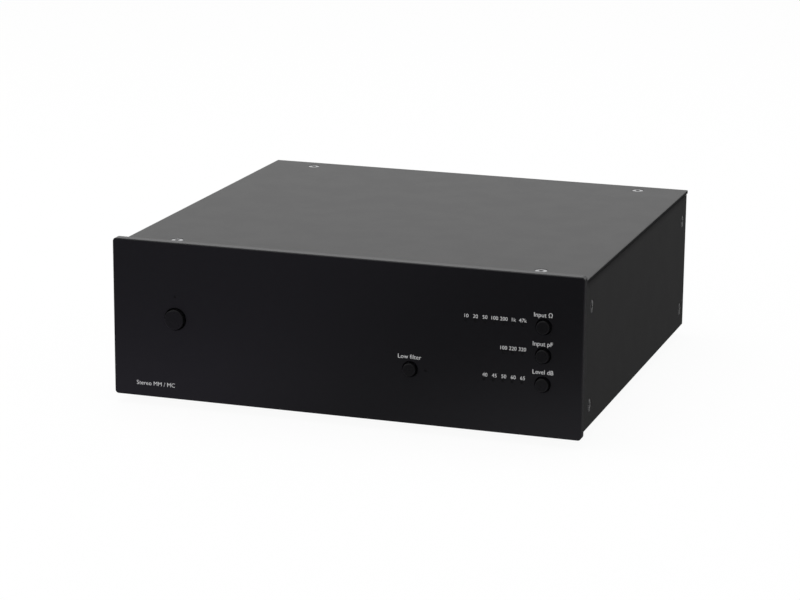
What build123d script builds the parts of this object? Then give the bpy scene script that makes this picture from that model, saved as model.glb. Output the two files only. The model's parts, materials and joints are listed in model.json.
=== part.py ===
from build123d import *
import os

# A phono preamplifier in a flat metal case, with its buttons, boards and rear sockets.
# Millimetres. X runs to the right, Y to the rear and Z up. The origin lies on the surface the case
# stands on, under the middle of its overall width and depth.

os.makedirs("parts", exist_ok=True)

# Case
panel_width = 206.0
panel_height = 68.3
panel_thickness = 4.0
panel_corner_radius = 1.5
panel_edge_chamfer = 0.35
body_depth = 190.0  # from the back of the front panel to the outer face of the rear panel
panel_side_overhang = 0.8  # how far the panel stands out past the top cover, each side
panel_top_overhang = 2.6
panel_bottom_overhang = 1.1
top_cover_thickness = 1.5
bottom_plate_thickness = 1.5
side_panel_thickness = 1.5
plate_edge_chamfer = 0.25
side_panel_inset = 0.4  # the side panels stand this far inside the top cover's edges
shadow_gap = 0.6  # open slit between a side panel and the top cover
plate_play = 0.15  # between plates that stand edge to edge
frame_thickness = 1.2
frame_flange_length = 20.0
rear_panel_thickness = 1.2
rear_flange_length = 15.0
fold_radius = 1.6
corner_relief = 3.0  # notch between two flanges of a folded sheet
foot_height = 4.8
foot_radius = 9.0
foot_tip_radius = 8.0
foot_side_inset = 17.0  # from a side panel's inner face to the foot's centre
foot_end_inset = 27.0  # from the ends of the body to the foot's centre

# Fasteners, M3 throughout
screw_radius = 1.5
thread_play = 0.05
clearance_play = 0.15
countersunk_radius = 2.5
countersunk_land = 0.15
countersink_play = 0.05
screw_sink = 0.15  # how far a countersunk head lies below the plate's face
cover_screw_length = 5.0
pan_head_radius = 2.75
pan_head_height = 1.9
hex_socket_width = 2.0
hex_socket_depth = 1.1
spacer_width = 5.5  # across the flats of a hexagonal spacer
cover_screw_side_inset = 21.9  # from the top cover's edge to its screws
top_front_screw_setback = 12.5  # behind the back of the front panel
top_rear_screw_setback = 8.5  # ahead of the rear face
side_front_screw_setback = 13.4
side_rear_screw_setback = 7.7
side_low_screw_height = 9.4  # above the side panel's lower edge
side_high_screw_drop = 11.1  # below the side panel's upper edge
panel_screw_side_inset = 7.5  # from the panel's ends
panel_screw_rise = 12.0  # above the panel's lower edge
panel_screw_drop = 10.8  # below the panel's upper edge
panel_screw_length = 4.0
foot_screw_length = 6.5
foot_recess_depth = 2.5
foot_recess_play = 0.5

# Buttons: radius, collar, play in the panel and travel
small_button_radius = 2.8
power_button_radius = 4.3
button_play = 0.3
button_projection = 1.8
button_edge_radius = 0.45
hole_edge_chamfer = 0.35
collar_width = 1.0
collar_thickness = 0.8
collar_gap = 0.06  # between a collar at rest and the back of the panel
stem_radius = 2.2
small_travel = 0.5
power_travel = 1.5

# Where the controls stand on the panel, from its right or left end and its lower edge
control_column_inset = 16.6
gain_height = 22.3
control_pitch = 12.1
low_cut_inset = 73.2
low_cut_height = 23.4
power_inset = 28.3
power_height = 35.2
indicator_to_button = 8.8
indicator_pitch = 4.0
low_cut_indicator_offset = 6.8
power_indicator_rise = 9.7
ohm_steps = 7
picofarad_steps = 3
gain_steps = 5

# Light pipes and what lights them
pipe_radius = 0.5
pipe_play = 0.05
pipe_recess = 0.05
diode_length = 1.6
diode_height = 0.8
diode_depth = 0.9
diode_gap = 0.2
window_margin = 0.5  # around the collars and pipes that pass the frame's windows
holder_lip = 1.2
holder_thickness = 3.0
holder_post_radius = 1.0
holder_button_play = 0.4

# Control board and switches
control_board_gap = 10.0  # from the back of the front panel to the board
control_board_side_inset = 10.0  # from the panel's ends
control_board_rise = 8.0  # above the panel's lower edge
control_board_drop = 8.3  # below the panel's upper edge
board_thickness = 1.6
board_hole_inset = 4.5
right_hole_inset = 58.0  # from the panel's right end to the board's right pair of holes
board_screw_length = 5.5
switch_width = 6.0
switch_depth = 3.5
plunger_radius = 1.75
plunger_reach = 2.0
plunger_seat = 1.0
plunger_play = 0.1
bore_reserve = 0.3  # how much deeper a switch's bore is than its travel needs
power_switch_width = 8.5
power_switch_depth = 5.0
power_plunger_radius = 2.2
power_plunger_reach = 2.4
power_plunger_seat = 1.2

# Ribbon between the boards
ribbon_width = 15.0
ribbon_thickness = 0.9
ribbon_bend_radius = 5.0
ribbon_offset = -24.0  # from the middle of the case
header_width = 19.0
header_height = 6.0
header_depth = 8.0
ribbon_header_rise = 24.0  # centre of the control board's header, above that board's lower edge
ribbon_drop_setback = 22.0  # from the control board's rear face to the ribbon's vertical run

# Main board
main_board_setback = 27.0  # behind the back of the front panel
main_board_rear_gap = 1.0
main_board_side_inset = 12.0  # from the side panels' inner faces
main_board_rise = 7.0
main_board_hole_side_inset = 8.0
main_board_hole_front_inset = 18.0
main_board_hole_rear_inset = 30.0

# Round sockets
socket_projection = 6.0
shell_radius = 4.15
shell_root_radius = 3.9  # of the stretch that the housing holds, behind the barrel's shoulder
shell_bore_radius = 3.5
shell_depth = 5.0  # from the rear panel's outer face to the shell's inner end
shell_chamfer = 0.4
insulator_recess = 0.4
insulator_mouth_radius = 1.75
insulator_mouth_depth = 1.0
contact_radius = 2.4
contact_bore_radius = 1.65
contact_bore_depth = 9.0
socket_play = 0.05
housing_width = 11.0
housing_depth = 12.0
housing_boss_wall = 0.7
housing_top_margin = 6.2
lower_socket_rise = 9.5  # above the main board
socket_pitch = 15.0
tail_width = 1.0
tail_thickness = 0.6
short_tail_setback = 0.8
long_tail_setback = 2.4
tail_hole_radius = 0.7
tail_reach = 1.0  # below the board
phono_in_inset = 33.0  # each pair's place, from the panel's right end
line_in_inset = 81.0
line_out_inset = 109.0
socket_screw_length = 6.0
socket_screw_head_radius = 2.3

# Ground terminal
ground_inset = 57.0  # from the panel's right end
ground_height = 27.0  # above the body's underside
terminal_radius = 2.0
terminal_thread_play = 0.05
terminal_pitch = 0.7
terminal_turns = 4  # from tight to fully open
terminal_engagement = 4.2  # thread still in the bush when fully open
bush_width = 8.0
washer_radius = 4.4
washer_thickness = 0.8
washer_play = 0.1
washer_gap = 0.05
knob_radius = 4.0
knob_length = 4.4
knob_chamfer = 0.4
knurl_count = 24
knurl_radius = 0.35
knob_slot_width = 1.0
knob_slot_depth = 0.8

# Data socket
data_inset = 59.0  # from the panel's left end
data_width = 12.0
data_height = 11.0
data_wall = 0.5
data_length = 16.5
data_corner_cut = 1.6
data_insert_recess = 0.4
data_opening_width = 8.45
data_opening_height = 7.78
data_opening_cut = 1.2
data_opening_depth = 9.0
tongue_width = 5.6
tongue_height = 3.2
tongue_setback = 0.8
data_play = 0.3
data_projection = 0.8

# Supply socket
supply_inset = 27.0  # from the panel's left end
supply_width = 9.0
supply_height = 11.0
supply_length = 14.0
supply_nose_radius = 4.2
supply_bore_radius = 2.9
supply_bore_depth = 9.5
supply_pin_radius = 1.05
supply_pin_setback = 1.0
supply_pin_root = 2.0
supply_projection = 0.8
supply_rise = 6.0

# Parts on the main board. Each group's middle is given by its inset from the board's right or left
# end, or by its x, and by how far it lies behind the middle of the board.
relay_size = (7.4, 15.0, 10.0)
relay_pitches = (14.0, 21.0)
relay_column_count = 4
relay_row_count = 2
relay_right_inset = 38.3
relay_setback = 31.0
relay_edge_chamfer = 0.4
film_size = (7.2, 4.5, 9.0)
film_pitches = (12.0, 11.0)
film_column_count = 4
film_row_count = 2
film_right_inset = 40.3
film_setback = -1.0
film_edge_chamfer = 0.5
chip_size = (9.4, 6.3, 3.3)
chip_pitches = (15.0, 16.0)
chip_column_count = 4
chip_row_count = 2
chip_right_inset = 34.3
chip_setback = -34.0
chip_notch_radius = 0.8
chip_notch_depth = 0.4
can_radius = 5.0
can_height = 18.0
can_pitch = 14.0
can_row_count = 3
can_x = -6.0
can_setback = -18.0
can_edge_radius = 0.8
coil_radius = 4.0
coil_height = 7.5
coil_bore_radius = 1.2
coil_pitch = 12.0
coil_row_count = 2
coil_x = -6.0
coil_setback = 32.0
processor_size = (12.0, 12.0, 1.4)
processor_left_inset = 30.3
processor_setback = -40.0
converter_size = (9.0, 9.0, 1.2)
converter_left_inset = 48.3
converter_setback = 36.0
crystal_size = (11.0, 4.6, 3.6)
crystal_left_inset = 46.3
crystal_setback = -36.0
sink_left_inset = 30.3
sink_setback = 8.0
sink_width = 42.0
sink_height = 25.0
sink_base = 2.5
sink_fin_length = 10.0
sink_fin_thickness = 1.2
sink_fin_pitch = 5.1
sink_fin_count = 9
regulator_pitch = 22.0
tab_width = 10.0
tab_height = 15.5
tab_thickness = 1.3
tab_hole_drop = 2.8
regulator_body_height = 9.0
regulator_body_depth = 3.2
regulator_rise = 4.0
lead_width = 0.8
lead_thickness = 0.5
lead_pitch = 2.54
regulator_screw_length = 3.0

# Levels and faces that the sizes above fix
panel_bottom_z = foot_height - panel_bottom_overhang
panel_top_z = panel_bottom_z + panel_height
panel_middle_z = (panel_bottom_z + panel_top_z) / 2
cover_top_z = panel_top_z - panel_top_overhang
cover_bottom_z = cover_top_z - top_cover_thickness
floor_top_z = foot_height + bottom_plate_thickness
side_top_z = cover_bottom_z - shadow_gap
overall_depth = button_projection + panel_thickness + body_depth + socket_projection
front_y = button_projection - overall_depth / 2
panel_back_y = front_y + panel_thickness
rear_y = panel_back_y + body_depth
cover_half_width = panel_width / 2 - panel_side_overhang
side_outer_x = cover_half_width - side_panel_inset
side_inner_x = side_outer_x - side_panel_thickness
frame_back_y = panel_back_y + frame_thickness
board_front_y = panel_back_y + control_board_gap
board_rear_y = board_front_y + board_thickness
main_board_front_y = panel_back_y + main_board_setback
main_board_rear_y = rear_y - rear_panel_thickness - main_board_rear_gap
main_board_middle_y = (main_board_front_y + main_board_rear_y) / 2
main_board_half_width = side_inner_x - main_board_side_inset
main_board_bottom_z = floor_top_z + main_board_rise
main_board_top_z = main_board_bottom_z + board_thickness

# Places of the fasteners
cover_screw_x = cover_half_width - cover_screw_side_inset
cover_screw_rows_y = (panel_back_y + top_front_screw_setback, rear_y - top_rear_screw_setback)
cover_screw_spots = [(x, y) for x in (-cover_screw_x, cover_screw_x) for y in cover_screw_rows_y]
side_screw_rows_y = (panel_back_y + side_front_screw_setback, rear_y - side_rear_screw_setback)
side_screw_rows_z = (foot_height + side_low_screw_height, side_top_z - side_high_screw_drop)
side_screw_spots = [(y, z) for y in side_screw_rows_y for z in side_screw_rows_z]
panel_screw_x = panel_width / 2 - panel_screw_side_inset
panel_screw_rows_z = (panel_bottom_z + panel_screw_rise, panel_top_z - panel_screw_drop)
panel_screw_spots = [(x, z) for x in (-panel_screw_x, 0, panel_screw_x) for z in panel_screw_rows_z]
foot_x = side_inner_x - foot_side_inset
foot_rows_y = (panel_back_y + foot_end_inset, rear_y - foot_end_inset)
foot_spots = [(x, y) for x in (-foot_x, foot_x) for y in foot_rows_y]

# Places of the controls and their indicators
column_x = panel_width / 2 - control_column_inset
gain_z = panel_bottom_z + gain_height
picofarad_z = gain_z + control_pitch
ohm_z = picofarad_z + control_pitch
low_cut_x = panel_width / 2 - low_cut_inset
low_cut_z = panel_bottom_z + low_cut_height
power_x = power_inset - panel_width / 2
power_z = panel_bottom_z + power_height
small_collar_radius = small_button_radius + collar_width
power_collar_radius = power_button_radius + collar_width


def indicator_row(steps, z):
    """places of the indicators of one row, from the one beside the button to the left"""
    nearest_x = column_x - indicator_to_button
    return [(nearest_x - step * indicator_pitch, z) for step in range(steps)]


def rectangle_around(circles, margin):
    """low x, high x, low z and high z of the rectangle that clears each circle by the margin"""
    low_x = min(x - radius for x, z, radius in circles) - margin
    high_x = max(x + radius for x, z, radius in circles) + margin
    low_z = min(z - radius for x, z, radius in circles) - margin
    high_z = max(z + radius for x, z, radius in circles) + margin
    return low_x, high_x, low_z, high_z


column_buttons = [(column_x, z) for z in (gain_z, picofarad_z, ohm_z)]
column_indicators = (
    indicator_row(ohm_steps, ohm_z)
    + indicator_row(picofarad_steps, picofarad_z)
    + indicator_row(gain_steps, gain_z)
)
low_cut_indicators = [(low_cut_x + low_cut_indicator_offset, low_cut_z)]
power_indicators = [(power_x, power_z + power_indicator_rise)]
indicator_spots = column_indicators + low_cut_indicators + power_indicators
small_button_spots = column_buttons + [(low_cut_x, low_cut_z)]
# each group of controls: its buttons, the radius of their collars, and its indicators
control_groups = [
    (column_buttons, small_collar_radius, column_indicators),
    ([(low_cut_x, low_cut_z)], small_collar_radius, low_cut_indicators),
    ([(power_x, power_z)], power_collar_radius, power_indicators),
]


def group_window(buttons, collar_radius, indicators, margin):
    """the rectangle that clears the collars and light pipes of one group"""
    circles = [(x, z, collar_radius) for x, z in buttons]
    circles += [(x, z, pipe_radius) for x, z in indicators]
    return rectangle_around(circles, margin)


# Places on the two boards
control_board_half_width = panel_width / 2 - control_board_side_inset
control_board_low_z = panel_bottom_z + control_board_rise
control_board_high_z = panel_top_z - control_board_drop
control_board_middle_z = (control_board_low_z + control_board_high_z) / 2
control_hole_spots = [
    (x, z)
    for x in (board_hole_inset - control_board_half_width, panel_width / 2 - right_hole_inset)
    for z in (control_board_low_z + board_hole_inset, control_board_high_z - board_hole_inset)
]
main_hole_x = main_board_half_width - main_board_hole_side_inset
main_hole_front_y = main_board_front_y + main_board_hole_front_inset
main_hole_rear_y = main_board_rear_y - main_board_hole_rear_inset
main_hole_rows_y = (main_hole_front_y, (main_hole_front_y + main_hole_rear_y) / 2, main_hole_rear_y)
main_hole_spots = [(x, y) for x in (-main_hole_x, main_hole_x) for y in main_hole_rows_y]

# Places of the rear sockets
socket_pair_x = [panel_width / 2 - inset for inset in (phono_in_inset, line_in_inset, line_out_inset)]
ground_x = panel_width / 2 - ground_inset
data_x = data_inset - panel_width / 2
supply_x = supply_inset - panel_width / 2
lower_socket_z = main_board_top_z + lower_socket_rise
upper_socket_z = lower_socket_z + socket_pitch
socket_spots = [(x, z) for x in socket_pair_x for z in (lower_socket_z, upper_socket_z)]
socket_screw_z = (lower_socket_z + upper_socket_z) / 2
housing_back_y = rear_y - rear_panel_thickness - housing_depth
boss_radius = shell_root_radius + housing_boss_wall
ground_z = foot_height + ground_height
data_z = main_board_top_z + data_height / 2
supply_z = main_board_top_z + supply_rise


def upright(y):
    """sketch plane at depth y: its x is X, its y is Z, and it faces the front"""
    return Plane.XZ.offset(-y)


def box_between(low, high):
    """a block given by its lowest and highest corners"""
    with BuildPart() as block:
        with BuildSketch(Plane.XY.offset(low[2])):
            with Locations(((low[0] + high[0]) / 2, (low[1] + high[1]) / 2)):
                Rectangle(high[0] - low[0], high[1] - low[1])
        extrude(amount=high[2] - low[2])
    return block.part


# Fasteners, each made with its head's bearing side at z = 0 and its shank along -Z


def countersunk_screw(length):
    """flat-headed screw whose head lies a little below z = 0"""
    cone_top_z = -screw_sink - countersunk_land
    with BuildPart() as screw:
        with BuildSketch(Plane.XZ):
            with BuildLine():
                Polyline(
                    (0, -screw_sink),
                    (countersunk_radius, -screw_sink),
                    (countersunk_radius, cone_top_z),
                    (screw_radius, cone_top_z - (countersunk_radius - screw_radius)),
                    (screw_radius, -length),
                    (0, -length),
                    close=True,
                )
            make_face()
        revolve(axis=Axis.Z)
        with BuildSketch(Plane.XY.offset(-screw_sink)):
            RegularPolygon(hex_socket_width / 2, 6, major_radius=False)
        extrude(amount=-hex_socket_depth, mode=Mode.SUBTRACT)
    return screw.part


def pan_screw(length, head_radius=pan_head_radius):
    """round-headed screw whose head stands on z = 0"""
    with BuildPart() as screw:
        with BuildSketch():
            Circle(head_radius)
        extrude(amount=pan_head_height)
        fillet(screw.edges().sort_by(Axis.Z)[-1], radius=pan_head_height / 2)
        with BuildSketch(Plane.XY.offset(pan_head_height)):
            RegularPolygon(hex_socket_width / 2, 6, major_radius=False)
        extrude(amount=-hex_socket_depth, mode=Mode.SUBTRACT)
        with BuildSketch():
            Circle(screw_radius)
        extrude(amount=-length)
    return screw.part


def hex_spacer(length):
    """threaded spacer that stands on z = 0"""
    with BuildPart() as spacer:
        with BuildSketch():
            RegularPolygon(spacer_width / 2, 6, major_radius=False)
            Circle(screw_radius + thread_play, mode=Mode.SUBTRACT)
        extrude(amount=length)
    return spacer.part


def copies(piece, places):
    """the same piece at several places, as one group of solids"""
    with BuildPart() as group:
        with Locations(*places):
            add(piece)
    return group.part


def facing_rear(x, y, z):
    """location whose +Z points to the rear"""
    return Location((x, y, z), (-90, 0, 0))


def facing_right(x, y, z):
    return Location((x, y, z), (0, 90, 0))


def facing_left(x, y, z):
    return Location((x, y, z), (0, -90, 0))


def facing_down(x, y, z):
    return Location((x, y, z), (180, 0, 0))


def countersink_in(depth):
    """countersunk clearance hole in a plate, at the current locations"""
    CounterSinkHole(
        radius=screw_radius + clearance_play,
        counter_sink_radius=countersunk_radius + screw_sink + countersunk_land + countersink_play,
        depth=depth,
        counter_sink_angle=90,
    )


def folded_pan(web_y, rearward, thickness, flange_length):
    """sheet with four flanges folded back around a web whose outer face lies at web_y"""
    away = -1 if rearward else 1  # the sketch planes face the front
    web_end = 0 if rearward else -1  # the web's place among the faces from front to rear
    width = 2 * side_inner_x
    height = cover_bottom_z - floor_top_z
    middle_z = (cover_bottom_z + floor_top_z) / 2
    with BuildPart() as hollow:
        with BuildSketch(upright(web_y - away * thickness)):
            with Locations((0, middle_z)):
                Rectangle(width - 2 * thickness, height - 2 * thickness)
        extrude(amount=away * flange_length)
        inner_fold = max(fold_radius - thickness, thickness / 4)
        fillet(hollow.faces().sort_by(Axis.Y)[web_end].edges(), radius=inner_fold)
    with BuildPart() as pan:
        with BuildSketch(upright(web_y)):
            with Locations((0, middle_z)):
                Rectangle(width, height)
        extrude(amount=away * flange_length)
        fillet(pan.faces().sort_by(Axis.Y)[web_end].edges(), radius=fold_radius)
        add(hollow.part, mode=Mode.SUBTRACT)
        with BuildSketch(upright(web_y - away * fold_radius)):
            with Locations((0, middle_z)):
                with GridLocations(width, height, 2, 2):
                    Rectangle(2 * corner_relief, 2 * corner_relief)
        extrude(amount=away * flange_length, mode=Mode.SUBTRACT)
    return pan.part


def cut_flange_threads(thickness, top_y, side_y):
    """threaded holes of one folded sheet for the cover, bottom and side screws"""
    both_screws = (-cover_screw_x, cover_screw_x)
    both_sides = (-side_inner_x, side_inner_x)
    level_flanges = [(x, top_y, z) for x in both_screws for z in (floor_top_z, cover_bottom_z)]
    side_flanges = [facing_right(x, side_y, z) for x in both_sides for z in side_screw_rows_z]
    with Locations(*level_flanges, *side_flanges):
        Hole(radius=screw_radius + thread_play, depth=thickness)


# Front panel: rounded plate with button holes, pinholes for the light pipes and threads behind
with BuildPart() as front_panel:
    with BuildSketch(upright(panel_back_y)):
        with Locations((0, panel_middle_z)):
            RectangleRounded(panel_width, panel_height, panel_corner_radius)
    extrude(amount=panel_thickness)
    chamfer(front_panel.faces().sort_by(Axis.Y)[0].edges(), length=panel_edge_chamfer)
    with BuildSketch(upright(front_y)):
        with Locations(*small_button_spots):
            Circle(small_button_radius + button_play)
        with Locations((power_x, power_z)):
            Circle(power_button_radius + button_play)
    extrude(amount=-panel_thickness, mode=Mode.SUBTRACT)
    hole_edges = front_panel.edges().filter_by(GeomType.CIRCLE).filter_by(lambda edge: edge.is_closed)
    chamfer(hole_edges.group_by(Axis.Y)[0], length=hole_edge_chamfer)
    with BuildSketch(upright(front_y)):
        with Locations(*indicator_spots):
            Circle(pipe_radius + pipe_play)
    extrude(amount=-panel_thickness, mode=Mode.SUBTRACT)
    with BuildSketch(upright(panel_back_y)):
        with Locations(*panel_screw_spots):
            Circle(screw_radius + thread_play)
    extrude(amount=panel_screw_length - frame_thickness + clearance_play, mode=Mode.SUBTRACT)

# Front frame: folded sheet behind the panel, open where the controls pass
with BuildPart() as front_frame:
    add(folded_pan(panel_back_y, True, frame_thickness, frame_flange_length))
    with BuildSketch(upright(panel_back_y)):
        for buttons, collar_radius, indicators in control_groups:
            low_x, high_x, low_z, high_z = group_window(buttons, collar_radius, indicators, window_margin)
            with Locations(((low_x + high_x) / 2, (low_z + high_z) / 2)):
                Rectangle(high_x - low_x, high_z - low_z)
        with Locations(*panel_screw_spots):
            Circle(screw_radius + clearance_play)
    extrude(amount=-frame_thickness, mode=Mode.SUBTRACT)
    cut_flange_threads(frame_thickness, cover_screw_rows_y[0], side_screw_rows_y[0])

# Rear panel: folded sheet with the openings of the sockets
with BuildPart() as rear_panel:
    add(folded_pan(rear_y, False, rear_panel_thickness, rear_flange_length))
    with BuildSketch(upright(rear_y)):
        with Locations(*socket_spots):
            Circle(boss_radius + clearance_play)
        with Locations(*[(x, socket_screw_z) for x in socket_pair_x]):
            Circle(screw_radius + clearance_play)
        with Locations((ground_x, ground_z)):
            Circle(terminal_radius + clearance_play)
        with Locations((data_x, data_z)):
            Rectangle(data_width + 2 * data_play, data_height + 2 * data_play)
        with Locations((supply_x, supply_z)):
            Circle(supply_nose_radius + clearance_play)
    extrude(amount=rear_panel_thickness, mode=Mode.SUBTRACT)
    cut_flange_threads(rear_panel_thickness, cover_screw_rows_y[1], side_screw_rows_y[1])

# Top cover, bottom plate and side panels: flat plates screwed to the flanges
plate_front_y = panel_back_y + plate_play
with BuildPart() as top_cover:
    cover_low = (-cover_half_width, plate_front_y, cover_bottom_z)
    add(box_between(cover_low, (cover_half_width, rear_y, cover_top_z)))
    chamfer(top_cover.faces().sort_by(Axis.Z)[-1].edges(), length=plate_edge_chamfer)
    with Locations(*[(x, y, cover_top_z) for x, y in cover_screw_spots]):
        countersink_in(top_cover_thickness)

floor_half_width = side_inner_x - plate_play
with BuildPart() as bottom_plate:
    floor_low = (-floor_half_width, plate_front_y, foot_height)
    add(box_between(floor_low, (floor_half_width, rear_y, floor_top_z)))
    chamfer(bottom_plate.faces().sort_by(Axis.Z)[0].edges(), length=plate_edge_chamfer)
    with Locations(*[facing_down(x, y, foot_height) for x, y in cover_screw_spots]):
        countersink_in(bottom_plate_thickness)
    with Locations(*[(x, y, floor_top_z) for x, y in foot_spots]):
        Hole(radius=screw_radius + thread_play, depth=bottom_plate_thickness)

with BuildPart() as right_side_panel:
    add(box_between((side_inner_x, plate_front_y, foot_height), (side_outer_x, rear_y, side_top_z)))
    edges_below_slit = right_side_panel.faces().sort_by(Axis.X)[-1].edges().sort_by(Axis.Z)[:-1]
    chamfer(edges_below_slit, length=plate_edge_chamfer)
    with Locations(*[facing_right(side_outer_x, y, z) for y, z in side_screw_spots]):
        countersink_in(side_panel_thickness)

with BuildPart() as left_side_panel:
    add(right_side_panel.part)
    mirror(about=Plane.YZ, mode=Mode.REPLACE)

# Screws of the case, each kind a group
cover_screw = countersunk_screw(cover_screw_length)
panel_screw = pan_screw(panel_screw_length)
board_screw = pan_screw(board_screw_length)
top_cover_screws = copies(cover_screw, [(x, y, cover_top_z) for x, y in cover_screw_spots])
bottom_plate_screws = copies(cover_screw, [facing_down(x, y, foot_height) for x, y in cover_screw_spots])
side_panel_screws = copies(
    cover_screw,
    [facing_right(side_outer_x, y, z) for y, z in side_screw_spots]
    + [facing_left(-side_outer_x, y, z) for y, z in side_screw_spots],
)
front_panel_screws = copies(panel_screw, [facing_rear(x, frame_back_y, z) for x, z in panel_screw_spots])

# Feet: tapered rubber discs with a recess for the screw's head
with BuildPart() as foot:
    with BuildSketch(Plane.XZ):
        with BuildLine():
            Polyline(
                (screw_radius + clearance_play, foot_recess_depth),
                (pan_head_radius + foot_recess_play, foot_recess_depth),
                (pan_head_radius + foot_recess_play, 0),
                (foot_tip_radius, 0),
                (foot_radius, foot_height),
                (screw_radius + clearance_play, foot_height),
                close=True,
            )
        make_face()
    revolve(axis=Axis.Z)
rubber_feet = copies(foot.part, [(x, y, 0) for x, y in foot_spots])
foot_screw_places = [facing_down(x, y, foot_recess_depth) for x, y in foot_spots]
foot_screws = copies(pan_screw(foot_screw_length), foot_screw_places)


# Buttons and the switches they press


def push_button(x, z, radius, stem_end_y):
    """cap that shows in the panel, with a collar behind the panel and a stem to its switch"""
    collar_front_y = panel_back_y + collar_gap
    collar_back_y = collar_front_y + collar_thickness
    with BuildPart() as button:
        with BuildSketch(upright(front_y - button_projection)):
            with Locations((x, z)):
                Circle(radius)
        extrude(amount=-(collar_back_y - front_y + button_projection))
        fillet(button.edges().sort_by(Axis.Y)[0], radius=button_edge_radius)
        with BuildSketch(upright(collar_front_y)):
            with Locations((x, z)):
                Circle(radius + collar_width)
        extrude(amount=-collar_thickness)
        with BuildSketch(upright(collar_back_y)):
            with Locations((x, z)):
                Circle(stem_radius)
        extrude(amount=-(stem_end_y - collar_back_y))
    return button.part


def switch_plunger(x, z, radius, reach, seat, depth):
    """rod that stands out of a switch housing and reaches into it"""
    with BuildPart() as plunger:
        with BuildSketch(upright(board_front_y - depth - reach)):
            with Locations((x, z)):
                Circle(radius)
        extrude(amount=-(reach + seat))
    return plunger.part


def switch_housing(x, z, width, depth, bore_radius, bore_depth):
    """square housing on the control board with a bore for its plunger"""
    with BuildPart() as housing:
        with BuildSketch(upright(board_front_y - depth)):
            with Locations((x, z)):
                Rectangle(width, width)
        extrude(amount=-depth)
        with BuildSketch(upright(board_front_y - depth)):
            with Locations((x, z)):
                Circle(bore_radius)
        extrude(amount=-bore_depth, mode=Mode.SUBTRACT)
    return housing.part


small_stem_end_y = board_front_y - switch_depth - plunger_reach
power_stem_end_y = board_front_y - power_switch_depth - power_plunger_reach
small_controls = {
    "low_cut": (low_cut_x, low_cut_z),
    "load_ohm": (column_x, ohm_z),
    "load_picofarad": (column_x, picofarad_z),
    "gain": (column_x, gain_z),
}
buttons_and_plungers = {
    "power_button": push_button(power_x, power_z, power_button_radius, power_stem_end_y),
    "power_plunger": switch_plunger(
        power_x, power_z, power_plunger_radius, power_plunger_reach, power_plunger_seat, power_switch_depth
    ),
}
for name, (x, z) in small_controls.items():
    buttons_and_plungers[f"{name}_button"] = push_button(x, z, small_button_radius, small_stem_end_y)
    buttons_and_plungers[f"{name}_plunger"] = switch_plunger(
        x, z, plunger_radius, plunger_reach, plunger_seat, switch_depth
    )

power_switch_housing = switch_housing(
    power_x,
    power_z,
    power_switch_width,
    power_switch_depth,
    power_plunger_radius + plunger_play,
    power_plunger_seat + power_travel + bore_reserve,
)
with BuildPart() as push_switch_housings:
    for x, z in small_controls.values():
        add(
            switch_housing(
                x,
                z,
                switch_width,
                switch_depth,
                plunger_radius + plunger_play,
                plunger_seat + small_travel + bore_reserve,
            )
        )

# Light pipes, the blocks that hold them and the diodes behind them
diode_front_y = board_front_y - diode_depth
with BuildPart() as light_pipes:
    with BuildSketch(upright(front_y + pipe_recess)):
        with Locations(*indicator_spots):
            Circle(pipe_radius)
    extrude(amount=-(diode_front_y - diode_gap - front_y - pipe_recess))

with BuildPart() as indicator_diodes:
    with BuildSketch(upright(diode_front_y)):
        with Locations(*indicator_spots):
            Rectangle(diode_length, diode_height)
    extrude(amount=-diode_depth)


def light_pipe_holder(buttons, collar_radius, indicators):
    """plate behind one window of the frame, on four posts that stand on the control board"""
    plate_margin = window_margin + holder_lip
    low_x, high_x, low_z, high_z = group_window(buttons, collar_radius, indicators, plate_margin)
    width = high_x - low_x
    height = high_z - low_z
    middle = ((low_x + high_x) / 2, (low_z + high_z) / 2)
    plate_back_y = frame_back_y + holder_thickness
    with BuildPart() as holder:
        with BuildSketch(upright(frame_back_y)):
            with Locations(middle):
                Rectangle(width, height)
            with Locations(*buttons):
                Circle(collar_radius + holder_button_play, mode=Mode.SUBTRACT)
            with Locations(*indicators):
                Circle(pipe_radius + pipe_play, mode=Mode.SUBTRACT)
        extrude(amount=-holder_thickness)
        with BuildSketch(upright(plate_back_y)):
            with Locations(middle):
                with GridLocations(width - 2 * holder_post_radius, height - 2 * holder_post_radius, 2, 2):
                    Circle(holder_post_radius)
        extrude(amount=-(board_front_y - plate_back_y))
    return holder.part


with BuildPart() as light_pipe_holders:
    for buttons, collar_radius, indicators in control_groups:
        add(light_pipe_holder(buttons, collar_radius, indicators))

# Control board on spacers behind the front frame
with BuildPart() as control_board:
    with BuildSketch(upright(board_front_y)):
        with Locations((0, control_board_middle_z)):
            Rectangle(2 * control_board_half_width, control_board_high_z - control_board_low_z)
        with Locations(*control_hole_spots):
            Circle(screw_radius + clearance_play, mode=Mode.SUBTRACT)
    extrude(amount=-board_thickness)

control_board_spacers = copies(
    hex_spacer(board_front_y - frame_back_y), [facing_rear(x, frame_back_y, z) for x, z in control_hole_spots]
)
control_board_screws = copies(board_screw, [facing_rear(x, board_rear_y, z) for x, z in control_hole_spots])

# Ribbon cable: back from the control board, round one bend and down to the main board
ribbon_z = control_board_low_z + ribbon_header_rise
ribbon_start_y = board_rear_y + header_depth
ribbon_drop_y = board_rear_y + ribbon_drop_setback
ribbon_end_z = main_board_top_z + header_depth
with BuildPart() as ribbon_cable:
    with BuildSketch(Plane.YZ.offset(ribbon_offset)):
        with BuildLine() as ribbon_line:
            FilletPolyline(
                (ribbon_start_y, ribbon_z),
                (ribbon_drop_y, ribbon_z),
                (ribbon_drop_y, ribbon_end_z),
                radius=ribbon_bend_radius,
            )
        trace(ribbon_line.line, line_width=ribbon_thickness)
    extrude(amount=ribbon_width / 2, both=True)

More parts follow.
